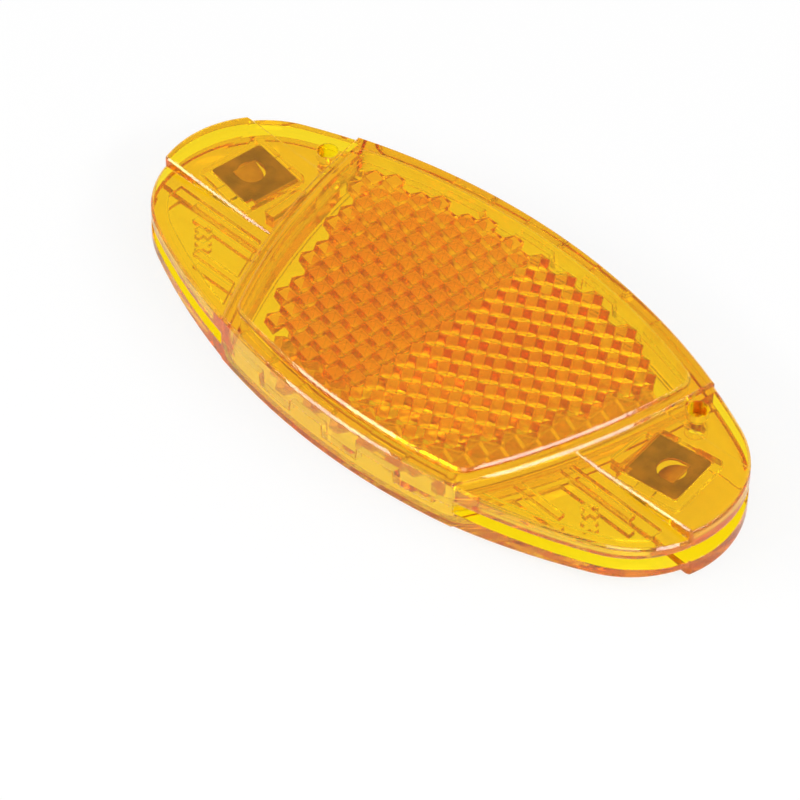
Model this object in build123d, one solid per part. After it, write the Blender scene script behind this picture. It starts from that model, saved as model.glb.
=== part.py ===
from build123d import *
import math
import os

# Bicycle spoke reflector: two moulded lens shells, welded back to back along an interlocking
# rim, with a spring steel clip for a spoke under each end of the front shell.
# X runs along the oval and Z out of the front lens; the spokes close in on each other towards +Y.
# The origin is the middle of the back lens face.

# Oval outline of four arcs
width = 50.2
end_radius = 17.0
end_length = 21.7  # from the lens ledge to the tip, on the long axis
seam = 0.04  # left open between the meeting faces of the shells

# Raised lens with cube-corner prisms under it
lens_end = 30.8  # middle to the lens edge, on the long axis
lens_end_radius = 110.0  # bulge of the lens ends
lens_end_slant = 16.0  # degrees
lens_plate = 1.6
lens_rise = 0.7  # lens face above the ledge around it
lens_corner = 3.0
lens_bevel = 0.4  # along the lens and the ledge
side_ledge = 2.5  # ledge width along the long sides
end_ledge = 1.6  # ledge width past the lens ends
wall = 2.4  # sealed wall around the prisms
cavity_corner = 2.5
prism_pitch = 3.1
prism_land = 0.2  # plate to the valleys between prisms
prism_gap = 1.85  # between the prism tips of the two shells
field_end = 27.0  # middle to the end of the prism field, on the long axis
field_slant = 21.0  # degrees
field_margin = 1.7  # from the sealed wall

# Interlocking rim: tabs and gaps take turns along both long sides
tab_length = 6.75
tab_depth = 1.1
tab_fit = 0.1
tabs_each_way = 3

# End plates, which leave a slot for the spoke between the two shells
spoke_slot = 2.3
end_plate = 2.7  # thickness beside the lens
near_fall = 1.0  # slope of the -Y side down to the tip
end_bevel = 0.4
lead_in_length = 4.5
lead_in_depth = 0.5
strip_y = 2.4  # raised strip over the clip
strip_width = 15.2
strip_step = 0.2  # strip above the rest of the end plate, at the lens
strip_rise = 0.7  # slope of the strip up to the tip
strip_bevel = 0.35
strip_tip_round = 0.6
hole_diameter = 3.2
hole_from_lens = 5.1
hole_from_edge = 4.6

# Thinned area on the -Y side of each end, with two ribs and a cross-shaped boss
relief_depth = 0.75
relief_border = 1.0
relief_from_side = 2.5
rib_width = 1.2
inner_rib_y = -7.5
inner_rib_reach = 11.8  # past the lens ledge
outer_rib_y = -14.4
outer_rib_reach = 4.6
boss_from_lens = 6.7
boss_y = -10.8
boss_span = 2.8
boss_arm = 0.9

# Spring steel clip and its seat under the strip
sheet = 0.5
clip_length = 9.7
clip_width = 9.2
clip_from_lens = 4.4
clip_turn = 7.0  # degrees, the clip leans with its spoke
clip_lift = 1.25  # clip plate above the slot
clip_corner = 0.7
clip_fit = 0.1
flange_height = 2.0
flange_notch = 1.3
fold_round = 0.7
tongue_length = 3.6
tongue_width = 3.8
tongue_drop = 1.6
tongue_gap = 0.3
tongue_root = 2.2  # from the tip side edge of the clip
pocket_margin = 1.3
pocket_corner = 0.8
lip_length = 3.0
lip_height = 0.6
lip_overlap = 0.4
stop_gap = 0.75  # from the clip to the block behind it
stop_length = 1.85
stop_width = 7.3
stop_corner = 0.4

# Worked out from the sizes above; heights count from the parting plane of the shells
ledge_end = lens_end + end_ledge
length = 2 * (ledge_end + end_length)
end_middle = length / 2 - end_radius  # centre of the end arc
side_radius = (end_middle**2 + (width / 2) ** 2 - end_radius**2) / (width - 2 * end_radius)
side_middle = side_radius - width / 2  # centre of the side arc, beyond the long axis
lean = math.atan2(side_middle, end_middle)  # of the line on which the two arcs meet
cell_radius = prism_pitch / math.sqrt(3)
column_step = 1.5 * cell_radius
prism_level = prism_pitch / math.sqrt(6)  # valley to ridge, and ridge to tip
plate_under = prism_gap / 2 + 2 * prism_level + prism_land
lens_top = plate_under + lens_plate
ledge_top = lens_top - lens_rise
slot_top = spoke_slot / 2
end_top = slot_top + end_plate
strip_near = strip_y - strip_width / 2
strip_far = strip_y + strip_width / 2
clip_under = slot_top + clip_lift
clip_inner = ledge_end + clip_from_lens
clip_place = Pos(clip_inner + clip_length / 2, strip_y) * Rot(0, 0, clip_turn)
slant = math.radians(lens_end_slant)
bow_x = lens_end - lens_end_radius * math.cos(slant)
bow_y = lens_end_radius * math.sin(slant)


def oval(inset):
    """The outline drawn in: four arcs that run smoothly into each other."""
    x = end_middle + (end_radius - inset) * math.cos(lean)
    y = (end_radius - inset) * math.sin(lean)
    tip = length / 2 - inset
    side = width / 2 - inset
    return make_face([
        ThreePointArc((-x, y), (0, side), (x, y)),
        ThreePointArc((x, y), (tip, 0), (x, -y)),
        ThreePointArc((x, -y), (0, -side), (-x, -y)),
        ThreePointArc((-x, -y), (-tip, 0), (-x, y)),
    ])


def between_bows(grow):
    """Area between the two bowed lens ends, each moved outwards."""
    bow = Circle(lens_end_radius + grow)
    return Pos(bow_x, bow_y) * bow & Pos(-bow_x, bow_y) * bow


def right_of(x):
    """Half plane from x to beyond the tip."""
    return Pos(x + length / 2, 0) * Rectangle(length, 2 * width)


def slab(area, bottom, top):
    """Area extruded between two heights."""
    return extrude(Pos(0, 0, bottom) * area, top - bottom)


def from_outline(x, y):
    """How far a point lies inside the outline."""
    if abs(x) * math.sin(lean) > (abs(y) + side_middle) * math.cos(lean):
        return end_radius - math.hypot(abs(x) - end_middle, y)
    return side_radius - math.hypot(x, abs(y) + side_middle)


def on_outline(edge):
    """Whether the middle of an edge lies on the outline."""
    middle = edge.position_at(0.5)
    return abs(from_outline(middle.X, middle.Y)) < 1e-4


def top_edges(piece):
    """Edges of the highest face."""
    return piece.faces().sort_by(Axis.Z)[-1].edges()


def lens_box():
    """Lens plate on its sealed wall, open at the parting plane."""
    lens_area = oval(side_ledge) & between_bows(0)
    lens = slab(fillet(lens_area.vertices(), lens_corner), seam, lens_top)
    lens = chamfer(top_edges(lens), lens_bevel)
    box = slab(oval(0) & between_bows(end_ledge), seam / 2, ledge_top)
    box = chamfer(top_edges(box), lens_bevel)
    return box + lens - slab(cavity_area(), 0, plate_under)


def cavity_area():
    """Hollow inside the sealed wall."""
    area = oval(wall) & between_bows(end_ledge - wall)
    return fillet(area.vertices(), cavity_corner)


def rim_span(index, trim):
    """Wall area of one tab or gap, on both long sides."""
    ring = (oval(0) & between_bows(end_ledge)) - cavity_area()
    return ring & Pos((index + 0.5) * tab_length, 0) * Rectangle(tab_length - 2 * trim, 2 * width)


def interlock(box):
    """Tabs below the parting plane and gaps above it, turn by turn."""
    for index in range(-tabs_each_way, tabs_each_way):
        if index % 2 == 0:
            box += slab(rim_span(index, tab_fit), seam / 2 - tab_depth, seam / 2)
        else:
            box -= slab(rim_span(index, 0), 0, seam / 2 + tab_depth)
    return box


def end_zone(y_from, y_to, root_top, tip_top):
    """One zone of the right end plate, with a top that may slope towards the tip."""
    tip = length / 2
    middle_top = root_top - (tip_top - root_top) * ledge_end / end_length
    side = Polygon((0, slot_top), (tip, slot_top), (tip, tip_top), (0, middle_top), align=None)
    zone = extrude(Plane.XZ.offset(-y_to) * side, y_to - y_from)
    area = (oval(0) - between_bows(end_ledge - wall / 2)) & right_of(0)
    return zone & slab(area, slot_top, 2 * lens_top)


def outline_edges(zone):
    """Edges of the highest face that lie on the outline."""
    return [edge for edge in top_edges(zone) if on_outline(edge)]


def strip():
    """Raised zone over the clip, with bevelled sides and a rounded tip."""
    root_top = end_top + strip_step
    zone = end_zone(strip_near, strip_far, root_top, root_top + strip_rise)
    zone = fillet(outline_edges(zone), strip_tip_round)
    return chamfer(top_edges(zone).filter_by(Plane.XZ), strip_bevel)


def low_zones():
    """The plate beside the strip, with a bevelled edge."""
    near = end_zone(-width, strip_near, end_top, end_top - near_fall)
    far = end_zone(strip_far, width, end_top, end_top)
    return [chamfer(outline_edges(zone), end_bevel) for zone in (near, far)]


def lead_in():
    """Wedge that flares the spoke slot towards the right tip."""
    tip = length / 2
    start = tip - lead_in_length
    side = Polygon((start, slot_top), (tip, slot_top), (tip, slot_top + lead_in_depth), align=None)
    return extrude(Plane.XZ * side, width, both=True)


def relief():
    """Cut that thins the -Y side of the right end between its ribs and boss."""
    area = oval(relief_from_side) & right_of(0)
    area -= right_of(length / 2 - lead_in_length - relief_border)
    area -= between_bows(end_ledge + relief_border)
    area -= Pos(0, width + strip_near - relief_border) * Rectangle(2 * length, 2 * width)
    for y, reach in ((inner_rib_y, inner_rib_reach), (outer_rib_y, outer_rib_reach)):
        area -= Pos(0, y) * Rectangle(2 * (ledge_end + reach), rib_width)
    cross = Rectangle(boss_span, boss_arm) + Rectangle(boss_arm, boss_span)
    area -= Pos(ledge_end + boss_from_lens, boss_y) * cross
    return slab(area, slot_top, slot_top + relief_depth)


def side_hole():
    """Through hole on the +Y side of the right end."""
    x = ledge_end + hole_from_lens
    y = math.sqrt(side_radius**2 - x**2) - side_middle - hole_from_edge
    return slab(Pos(x, y) * Circle(hole_diameter / 2), 0, lens_top)


def end_stop():
    """Block that backs the flange of the clip, down to the parting plane."""
    x = clip_inner - stop_gap - stop_length / 2
    area = Pos(x, strip_y) * RectangleRounded(stop_length, stop_width, stop_corner)
    return slab(area, seam / 2, end_top)


def right_end():
    """End plate with its slopes, flared slot, thinned area, hole and stop."""
    plate = strip() + low_zones()
    plate -= lead_in()
    plate -= relief()
    plate -= side_hole()
    return plate + end_stop()


def clip_pocket():
    """Open pocket under the right strip, with the seat of the clip plate above it."""
    reach = clip_length + clip_fit + pocket_margin
    opening = RectangleRounded(reach, clip_width + 2 * pocket_margin, pocket_corner)
    opening = Pos((pocket_margin - clip_fit) / 2, 0) * opening
    seat = Rectangle(clip_length + 2 * clip_fit, clip_width + 2 * clip_fit)
    pocket = slab(opening, slot_top, clip_under) + slab(seat, clip_under, clip_under + sheet + seam)
    return clip_place * pocket


def clip_lips():
    """Two lips that reach from the pocket sides under the clip plate."""
    reach = pocket_margin + lip_overlap
    lip_y = clip_width / 2 + pocket_margin - reach / 2
    lip = Rectangle(lip_length, reach)
    area = Pos(0, lip_y) * lip + Pos(0, -lip_y) * lip
    return clip_place * slab(area, clip_under - lip_height, clip_under)


def prism_cells(parity):
    """Middles of the whole cells in the right half of the field, where every other column is raised."""
    cells = []
    rows = int(width / prism_pitch)
    for column in range(int(length / column_step)):
        x = (column + 0.5) * column_step
        shift = prism_pitch / 2 * ((column + parity) % 2)
        for row in range(-rows, rows + 1):
            y = row * prism_pitch + shift
            if all(in_field(*cell_corner(x, y, k)) for k in range(6)):
                cells.append((x, y))
    return cells


def cell_corner(x, y, k):
    """Corner k of a hexagonal cell, counted from +X."""
    turn = math.radians(60 * k)
    return x + cell_radius * math.cos(turn), y + cell_radius * math.sin(turn)


def lattice_spot(corner):
    """Place of a cell corner on the lattice, in whole steps."""
    return round(4 * corner[0] / cell_radius), round(2 * corner[1] / prism_pitch)


def in_field(x, y):
    """Whether a point lies in the right half of the prism field."""
    in_oval = from_outline(x, y) >= wall + field_margin
    in_bow = math.hypot(x - bow_x, y - bow_y) <= lens_end_radius + end_ledge - wall - field_margin
    in_end = x <= field_end + y * math.tan(math.radians(field_slant))
    return in_oval and in_bow and in_end


def polygon_face(*points):
    """Flat face through points in space."""
    return Face(Wire.make_polygon(points))


def prism_half(parity):
    """Right half of the field: three square facets a cell, closed by walls up to the lens plate."""
    valley = plate_under - prism_land
    facets = []
    border = {}
    for x, y in prism_cells(parity):
        corners = []
        for k in range(6):
            height = valley - prism_level * (1 - k % 2)
            corners.append((*cell_corner(x, y, k), height))
        tip = (x, y, valley - 2 * prism_level)
        for k in (0, 2, 4):
            facets.append(polygon_face(tip, corners[k], corners[k + 1], corners[(k + 2) % 6]))
        for k in range(6):
            start = corners[k]
            finish = corners[(k + 1) % 6]
            # A side shared with the next cell runs the other way there, and isn't on the border
            here = lattice_spot(start)
            there = lattice_spot(finish)
            if (there, here) in border:
                del border[there, here]
            else:
                border[here, there] = (start, finish)
    after = {here: (there, ends) for (here, there), ends in border.items()}
    spot = first = next(iter(after))
    rim = []
    while True:
        spot, (start, finish) = after[spot]
        start_up = (start[0], start[1], plate_under)
        finish_up = (finish[0], finish[1], plate_under)
        facets.append(polygon_face(start, finish, finish_up, start_up))
        rim.append(start_up)
        if spot == first:
            break
    facets.append(polygon_face(*rim))
    return Solid(Shell(facets))


def spoke_clip():
    """Clip of the right end: plate with a punched tongue, and a flange folded down inside."""
    top = clip_under + sheet
    outer = clip_length / 2
    fold_x = flange_notch - outer
    root = outer - tongue_root
    plate = Pos((fold_x + outer) / 2, 0) * Rectangle(outer - fold_x, clip_width)
    plate = fillet(plate.vertices().group_by(Axis.X)[-1], clip_corner)
    clip = slab(plate - tongue_area(root, tongue_gap), clip_under, top)
    fold = Polygon(
        (-outer, top - flange_height),
        (sheet - outer, top - flange_height),
        (sheet - outer, clip_under),
        (fold_x, clip_under),
        (fold_x, top),
        (-outer, top),
        align=None,
    )
    fold = fillet(fold.vertices().group_by(Axis.X)[0].sort_by(Axis.Y)[-1], fold_round)
    clip += extrude(Plane.XZ.offset(-clip_width / 2) * fold, clip_width - flange_notch)
    free = root - tongue_length
    ramp = Polygon(
        (root, clip_under),
        (root, top),
        (free, top - tongue_drop),
        (free, clip_under - tongue_drop),
        align=None,
    )
    tongue = extrude(Plane.XZ * ramp, tongue_width, both=True)
    tongue = tongue & slab(tongue_area(root, 0), clip_under - tongue_drop, top)
    return clip_place * (clip + tongue)


def tongue_area(root, gap):
    """Tongue seen from above, with a round free end, widened by a gap."""
    radius = tongue_width / 2
    straight = tongue_length - radius
    stem = Pos(root - straight / 2, 0) * Rectangle(straight, tongue_width + 2 * gap)
    return stem + Pos(root - straight, 0) * Circle(radius + gap)


def both_ends(piece):
    """A piece of the right end with its mirror twin at the left end."""
    return [piece, mirror(piece, Plane.YZ)]


body = interlock(lens_box()) + both_ends(right_end())
prisms = [prism_half(0), mirror(prism_half(1), Plane.YZ)]
front_shell = body - both_ends(clip_pocket()) + both_ends(clip_lips()) + prisms
back_shell = (body + prisms).rotate(Axis.Y, 180)
right_spoke_clip = spoke_clip()
left_spoke_clip = mirror(right_spoke_clip, Plane.YZ)

os.makedirs("parts", exist_ok=True)
lift = Pos(0, 0, lens_top)
export_step(lift * front_shell, "parts/front_shell.step")
export_step(lift * back_shell, "parts/back_shell.step")
export_step(lift * right_spoke_clip, "parts/right_spoke_clip.step")
export_step(lift * left_spoke_clip, "parts/left_spoke_clip.step")
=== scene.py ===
import math

import bpy
from mathutils import Matrix, Vector


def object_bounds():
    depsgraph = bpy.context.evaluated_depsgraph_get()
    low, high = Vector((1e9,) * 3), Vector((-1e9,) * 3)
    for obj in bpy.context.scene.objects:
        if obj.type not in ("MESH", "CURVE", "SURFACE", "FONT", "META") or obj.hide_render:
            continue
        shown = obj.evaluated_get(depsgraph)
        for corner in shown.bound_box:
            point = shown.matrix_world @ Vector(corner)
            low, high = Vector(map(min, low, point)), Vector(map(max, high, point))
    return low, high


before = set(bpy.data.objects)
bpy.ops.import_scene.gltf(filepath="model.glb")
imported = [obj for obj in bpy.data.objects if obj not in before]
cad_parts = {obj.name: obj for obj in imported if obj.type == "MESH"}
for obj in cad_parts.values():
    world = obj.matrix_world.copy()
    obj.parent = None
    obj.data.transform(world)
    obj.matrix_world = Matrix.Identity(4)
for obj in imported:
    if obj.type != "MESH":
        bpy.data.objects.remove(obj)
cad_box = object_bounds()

# Camera: the middle of the front lens lies at this pixel of an 800 pixel wide picture
picture_size = 800
lens_middle_pixel = (444, 317.1)
focal_pixels = 5000
camera_distance = 0.7267
camera_azimuth = 43.5  # degrees from the -Y side towards +X
camera_elevation = 46.8
camera_roll = 1.2
camera_clip = (0.01, 20.0)
sensor_width = 36.0

# Shared by the materials
noise_detail = 3.0
blend_span = (0.35, 0.65)  # part of a noise over which two colours blend
edge_radius = 0.0003
edge_samples = 4

# Amber plastic: the tints count for light that crosses a face, the rest for its way through the depth
amber_ior = 1.49
amber_density = 1200.0
amber_colour = (0.9985, 0.971, 0.0, 1.0)
clearness = 0.97
face_tint_deep = (0.97, 0.77, 0.12, 1.0)
face_tint_pale = (0.98, 0.82, 0.18, 1.0)
flow_scale = 60.0
wave_scale = 250.0
wave_height = 0.00002

# Cube facets, which are duller than the other faces, with a deeper, darker orange painted on them as
# shade, and painted shade darkest along their edges
facet_slope = 1 / math.sqrt(3)  # upright share of the normal of a cube facet
facet_tolerance = 0.01
facet_painted_shade_deep = (0.93, 0.36, 0.03, 1.0)
facet_painted_shade_pale = (0.96, 0.46, 0.06, 1.0)
facet_roughness = 0.07
facet_edge_painted_shade_deep = (0.52, 0.12, 0.005, 1.0)
facet_edge_painted_shade_pale = (0.62, 0.16, 0.01, 1.0)
facet_shade_edge_radius = 0.00025
facet_shade_edge_turn = (0.9, 0.99)  # cosine of the rounding: an edge below the first, none past the second

# Spring steel with a brown temper colour, and a paler colour painted on its faces that are not level, the
# bends and the tongue, as a painted reflection
steel_dark = (0.36, 0.16, 0.08, 1.0)
steel_pale = (0.6, 0.29, 0.16, 1.0)
bend_reflection_dark = (0.8, 0.38, 0.2, 1.0)
bend_reflection_pale = (0.98, 0.55, 0.32, 1.0)
level_slope = 0.98  # upright share of the normal, above which a face counts as level
steel_roughness = (0.4, 0.55)
cloud_scale = 350.0
grain_scale = 3000.0
grain_stretch = (1.0, 0.1, 1.0)
grain_height = 0.00001

# Studio
white = (1.0, 1.0, 1.0, 1.0)
floor_reach = 3.0
floor_colour = (0.9, 0.9, 0.9, 1.0)
floor_glow = 0.8  # share of plain white where the camera sees the floor
backdrop = 1.0  # surround where it shows behind the part or through it
surround = 0.7  # surround as it lights surfaces
dimmed_share = 0.4  # left of the surround where a screen or a flag dims it
screen_elevation = 50
screen_angles = (20, 40)  # dimmed inside the first, untouched past the second
flag_elevation = 45
flag_angles = (18, 36)
front_light_distance = 1.3
front_light_size = (0.5, 0.5)
front_light_brightness = 3.4
left_light_angles = (-33, 30)  # azimuth and elevation
right_light_angles = (100, 36)
strip_light_distance = 1.0
strip_light_size = (0.9, 0.12)
strip_light_brightness = 12.0
light_bounces = 48  # light goes many times to and fro between the facets


def direction(azimuth, elevation):
    """Unit vector from the part towards a place around it, from angles in degrees."""
    a = math.radians(azimuth)
    e = math.radians(elevation)
    return Vector((math.sin(a) * math.cos(e), -math.cos(a) * math.cos(e), math.sin(e)))


def add_camera():
    """Camera at the photograph's viewing angle."""
    back = direction(camera_azimuth, camera_elevation)
    level = Vector((0.0, 0.0, 1.0)).cross(back).normalized()
    right = Matrix.Rotation(math.radians(camera_roll), 3, back) @ level
    up = back.cross(right)
    scale = camera_distance / focal_pixels
    across = (lens_middle_pixel[0] - picture_size / 2) * scale
    down = (lens_middle_pixel[1] - picture_size / 2) * scale
    lens_middle = Vector((0.0, 0.0, cad_box[1][2]))
    place = lens_middle + back * camera_distance - right * across + up * down
    data = bpy.data.cameras.new("camera")
    data.sensor_width = sensor_width
    data.lens = sensor_width * focal_pixels / picture_size
    data.clip_start, data.clip_end = camera_clip
    camera = bpy.data.objects.new("camera", data)
    bpy.context.scene.collection.objects.link(camera)
    turn = Matrix((right, up, back)).transposed().to_4x4()
    camera.matrix_world = Matrix.Translation(place) @ turn
    bpy.context.scene.camera = camera


def new_material(name):
    """Material with a Principled shader as its surface."""
    material = bpy.data.materials.new(name)
    material.use_nodes = True
    tree = material.node_tree
    tree.nodes.clear()
    output = tree.nodes.new("ShaderNodeOutputMaterial")
    shader = tree.nodes.new("ShaderNodeBsdfPrincipled")
    tree.links.new(shader.outputs["BSDF"], output.inputs["Surface"])
    return material, tree, shader, output


def add_noise(tree, scale, stretch=(1.0, 1.0, 1.0)):
    """Noise over the part's own coordinates, drawn out along the axes with a small stretch."""
    where = tree.nodes.new("ShaderNodeTexCoord")
    place = tree.nodes.new("ShaderNodeMapping")
    place.inputs["Scale"].default_value = stretch
    noise = tree.nodes.new("ShaderNodeTexNoise")
    noise.inputs["Scale"].default_value = scale
    noise.inputs["Detail"].default_value = noise_detail
    tree.links.new(where.outputs["Object"], place.inputs["Vector"])
    tree.links.new(place.outputs["Vector"], noise.inputs["Vector"])
    return noise.outputs["Fac"]


def add_math(tree, operation, *values):
    """One sum on values, each the output of a node or a plain number."""
    node = tree.nodes.new("ShaderNodeMath")
    node.operation = operation
    for place, value in zip(node.inputs, values):
        if isinstance(value, bpy.types.NodeSocket):
            tree.links.new(value, place)
        else:
            place.default_value = value
    return node.outputs["Value"]


def add_dot(tree, first, second):
    """Dot product of the output of a node and another output or a plain vector."""
    node = tree.nodes.new("ShaderNodeVectorMath")
    node.operation = "DOT_PRODUCT"
    tree.links.new(first, node.inputs[0])
    if isinstance(second, bpy.types.NodeSocket):
        tree.links.new(second, node.inputs[1])
    else:
        node.inputs[1].default_value = second
    return node.outputs["Value"]


def add_range(tree, value, low, high, start=0.0, end=1.0):
    """Value from start to end spread over another range."""
    spread = tree.nodes.new("ShaderNodeMapRange")
    spread.inputs["From Min"].default_value = start
    spread.inputs["From Max"].default_value = end
    spread.inputs["To Min"].default_value = low
    spread.inputs["To Max"].default_value = high
    tree.links.new(value, spread.inputs["Value"])
    return spread.outputs["Result"]


def add_blend(tree, value, low, high):
    """Colour between two, by the middle part of a noise."""
    ramp = tree.nodes.new("ShaderNodeValToRGB")
    for element, colour, position in zip(ramp.color_ramp.elements, (low, high), blend_span):
        element.color = colour
        element.position = position
    tree.links.new(value, ramp.inputs["Fac"])
    return ramp.outputs["Color"]


def add_mix(tree, share, first, second):
    """Colour that goes from the first to the second with a share."""
    mix = tree.nodes.new("ShaderNodeMixRGB")
    tree.links.new(share, mix.inputs["Fac"])
    tree.links.new(first, mix.inputs["Color1"])
    tree.links.new(second, mix.inputs["Color2"])
    return mix.outputs["Color"]


def add_rounding(tree, radius):
    """Surface normal with the edges rounded off."""
    rounding = tree.nodes.new("ShaderNodeBevel")
    rounding.samples = edge_samples
    rounding.inputs["Radius"].default_value = radius
    return rounding.outputs["Normal"]


def add_bump(tree, value, height):
    """Surface normal of a fine relief, with the edges rounded off."""
    bump = tree.nodes.new("ShaderNodeBump")
    bump.inputs["Strength"].default_value = 1.0
    bump.inputs["Distance"].default_value = height
    tree.links.new(value, bump.inputs["Height"])
    tree.links.new(add_rounding(tree, edge_radius), bump.inputs["Normal"])
    return bump.outputs["Normal"]


def add_slope(tree):
    """Upright share of the normal of a face: 1 if it is level, 0 if it stands upright."""
    shape = tree.nodes.new("ShaderNodeNewGeometry")
    split = tree.nodes.new("ShaderNodeSeparateXYZ")
    tree.links.new(shape.outputs["True Normal"], split.inputs["Vector"])
    return add_math(tree, "ABSOLUTE", split.outputs["Z"])


def add_edges(tree, radius, turn):
    """1 along the edges of a face, 0 inside it."""
    shape = tree.nodes.new("ShaderNodeNewGeometry")
    facing = add_dot(tree, add_rounding(tree, radius), shape.outputs["True Normal"])
    return add_range(tree, facing, 1.0, 0.0, *turn)


def amber_plastic():
    """Clear amber plastic, with the slight waves of a moulded face and duller cube facets, on which a
    deeper orange and darker edges are painted as shade.
    """
    material, tree, shader, output = new_material("amber_plastic")
    shader.inputs["Transmission Weight"].default_value = clearness
    shader.inputs["IOR"].default_value = amber_ior
    facets = add_math(tree, "COMPARE", add_slope(tree), facet_slope, facet_tolerance)
    flow = add_noise(tree, flow_scale)
    waves = add_noise(tree, wave_scale)
    face_tint = add_blend(tree, flow, face_tint_deep, face_tint_pale)
    # Painted shade: the cube facets get a deeper, darker orange than the other faces of the same plastic
    facet_painted_shade = add_blend(tree, flow, facet_painted_shade_deep, facet_painted_shade_pale)
    edge_painted_shade = add_blend(tree, flow, facet_edge_painted_shade_deep, facet_edge_painted_shade_pale)
    # Painted shade: a dark brown line along every facet edge, where the rounded normal turns away from
    # the face
    edges = add_edges(tree, facet_shade_edge_radius, facet_shade_edge_turn)
    prism_painted_shade = add_mix(tree, edges, facet_painted_shade, edge_painted_shade)
    tree.links.new(add_mix(tree, facets, face_tint, prism_painted_shade), shader.inputs["Base Color"])
    tree.links.new(add_range(tree, facets, 0.0, facet_roughness), shader.inputs["Roughness"])
    tree.links.new(add_bump(tree, waves, wave_height), shader.inputs["Normal"])
    depth = tree.nodes.new("ShaderNodeVolumeAbsorption")
    depth.inputs["Color"].default_value = amber_colour
    depth.inputs["Density"].default_value = amber_density
    tree.links.new(depth.outputs["Volume"], output.inputs["Volume"])
    return material


def spring_steel():
    """Rolled sheet steel with a cloudy temper colour and a fine grain, with a painted reflection that
    makes the faces that are not level paler.
    """
    material, tree, shader, _ = new_material("spring_steel")
    shader.inputs["Metallic"].default_value = 1.0
    cloud = add_noise(tree, cloud_scale)
    grain = add_noise(tree, grain_scale, grain_stretch)
    # Painted reflection: faces that are not level, the bends and the tongue, get a paler colour than the
    # level plate
    tilted_reflection_mask = add_math(tree, "LESS_THAN", add_slope(tree), level_slope)
    plate_colour = add_blend(tree, cloud, steel_dark, steel_pale)
    bend_reflection_colour = add_blend(tree, cloud, bend_reflection_dark, bend_reflection_pale)
    tree.links.new(add_mix(tree, tilted_reflection_mask, plate_colour, bend_reflection_colour), shader.inputs["Base Color"])
    tree.links.new(add_range(tree, grain, *steel_roughness), shader.inputs["Roughness"])
    tree.links.new(add_bump(tree, grain, grain_height), shader.inputs["Normal"])
    return material


def pale_floor():
    """White floor: plain white through the plastic, and with a faint shadow where the camera sees it."""
    material = bpy.data.materials.new("pale_floor")
    material.use_nodes = True
    tree = material.node_tree
    tree.nodes.clear()
    output = tree.nodes.new("ShaderNodeOutputMaterial")
    diffuse = tree.nodes.new("ShaderNodeBsdfDiffuse")
    diffuse.inputs["Color"].default_value = floor_colour
    glow = tree.nodes.new("ShaderNodeEmission")
    rays = tree.nodes.new("ShaderNodeLightPath")
    direct = rays.outputs["Is Camera Ray"]
    through = rays.outputs["Is Transmission Ray"]
    mix = tree.nodes.new("ShaderNodeMixShader")
    tree.links.new(add_math(tree, "MULTIPLY_ADD", direct, floor_glow, through), mix.inputs["Fac"])
    tree.links.new(diffuse.outputs["BSDF"], mix.inputs[1])
    tree.links.new(glow.outputs["Emission"], mix.inputs[2])
    tree.links.new(mix.outputs["Shader"], output.inputs["Surface"])
    return material


def add_floor():
    """Level floor under the part."""
    level = cad_box[0][2]
    signs = ((-1, -1), (1, -1), (1, 1), (-1, 1))
    corners = [(x * floor_reach, y * floor_reach, level) for x, y in signs]
    mesh = bpy.data.meshes.new("floor")
    mesh.from_pydata(corners, [], [(0, 1, 2, 3)])
    mesh.materials.append(pale_floor())
    floor = bpy.data.objects.new("floor", mesh)
    bpy.context.scene.collection.objects.link(floor)


def add_patch(tree, towards, angles, rays):
    """1 for rays of one kind that go to near a direction, 0 for others."""
    where = tree.nodes.new("ShaderNodeTexCoord")
    near = add_dot(tree, where.outputs["Generated"], towards)
    inner, outer = (math.cos(math.radians(angle)) for angle in angles)
    return add_math(tree, "MULTIPLY", add_range(tree, near, 0.0, 1.0, outer, inner), rays)


def add_world():
    """White surround, dimmed by a far screen that gloss mirrors and side flags that the plastic shows."""
    world = bpy.data.worlds.new("studio")
    bpy.context.scene.world = world
    world.use_nodes = True
    tree = world.node_tree
    rays = tree.nodes.new("ShaderNodeLightPath")
    mirrored = rays.outputs["Is Reflection Ray"]
    through = rays.outputs["Is Transmission Ray"]
    far_side = direction(camera_azimuth + 180, screen_elevation)
    dimmed = add_patch(tree, far_side, screen_angles, mirrored)
    for turn in (-90, 90):
        side = direction(camera_azimuth + turn, flag_elevation)
        dimmed = add_math(tree, "ADD", dimmed, add_patch(tree, side, flag_angles, through))
    shown = add_math(tree, "ADD", rays.outputs["Is Camera Ray"], through)
    level = add_range(tree, shown, surround, backdrop)
    share = add_range(tree, dimmed, 1.0, dimmed_share)
    background = tree.nodes["Background"]
    background.inputs["Color"].default_value = white
    tree.links.new(add_math(tree, "MULTIPLY", share, level), background.inputs["Strength"])


def add_softbox(name, angles, distance, size, brightness):
    """Soft light of a given width and height, aimed at the part."""
    data = bpy.data.lights.new(name, "AREA")
    data.shape = "RECTANGLE"
    data.size, data.size_y = size
    data.energy = brightness * math.pi * size[0] * size[1]
    light = bpy.data.objects.new(name, data)
    back = direction(*angles)
    light.location = back * distance
    light.rotation_euler = back.to_track_quat("Z", "Y").to_euler()
    bpy.context.scene.collection.objects.link(light)


def add_lights():
    """A box behind the camera, and two strips that the bevels of the part mirror towards it."""
    front = (camera_azimuth, camera_elevation)
    strip = (strip_light_distance, strip_light_size, strip_light_brightness)
    add_softbox("front", front, front_light_distance, front_light_size, front_light_brightness)
    add_softbox("left", left_light_angles, *strip)
    add_softbox("right", right_light_angles, *strip)


add_camera()
add_floor()
add_world()
add_lights()

amber = amber_plastic()
steel = spring_steel()
for name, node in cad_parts.items():
    node.data.materials.clear()
    node.data.materials.append(steel if name.endswith("clip") else amber)

scene = bpy.context.scene
scene.view_settings.view_transform = "Standard"
scene.cycles.max_bounces = light_bounces
scene.cycles.glossy_bounces = light_bounces
scene.cycles.transmission_bounces = light_bounces
